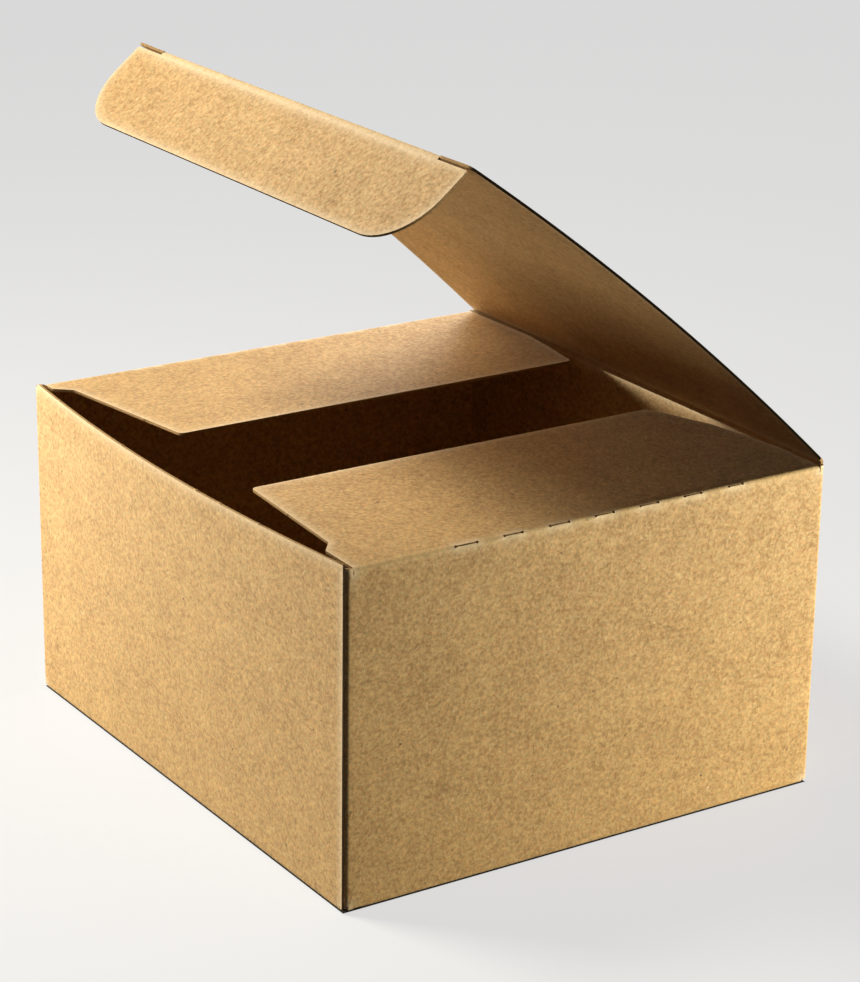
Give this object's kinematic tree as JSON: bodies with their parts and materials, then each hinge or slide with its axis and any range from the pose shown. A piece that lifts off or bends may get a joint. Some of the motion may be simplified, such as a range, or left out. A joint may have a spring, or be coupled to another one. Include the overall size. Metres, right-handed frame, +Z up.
{
  "type": "tuck-top carton",
  "caption": "Small kraft boxboard carton, shown open: hinged lid with a rounded tuck flap, two dust flaps folded in under it and an interlocked flat bottom.",
  "frame": {"origin": "middle of the base, on its underside, halfway between the four walls' feet", "axes": "+X along the lid's crease towards the right wall, -Y out of the front wall, +Z up"},
  "size_m": [0.1142, 0.1051, 0.1275],
  "materials": {
    "kraft_board": "uncoated"
  },
  "bodies": {
    "carton": {"carton_body": "kraft_board"},
    "lid_panel": {"lid": "kraft_board"},
    "tuck": {"tuck_flap": "kraft_board"}
  },
  "joints": [
    {"name": "lid_hinge", "type": "hinge", "parent": "carton", "child": "lid_panel", "pos_m": [0, 0.05055, 0.06325], "axis": [-1, 0, 0], "range_deg": [-39.5, 140.5]},
    {"name": "tuck_fold", "type": "hinge", "parent": "lid_panel", "child": "tuck", "pos_m": [0, -0.02653, 0.12679], "axis": [-1, 0, 0], "range_deg": [-20.85, 74.15]}
  ],
  "couplings": [
    {"joint": "tuck_fold", "follows": "lid_hinge", "ratio": 0.52778}
  ]
}
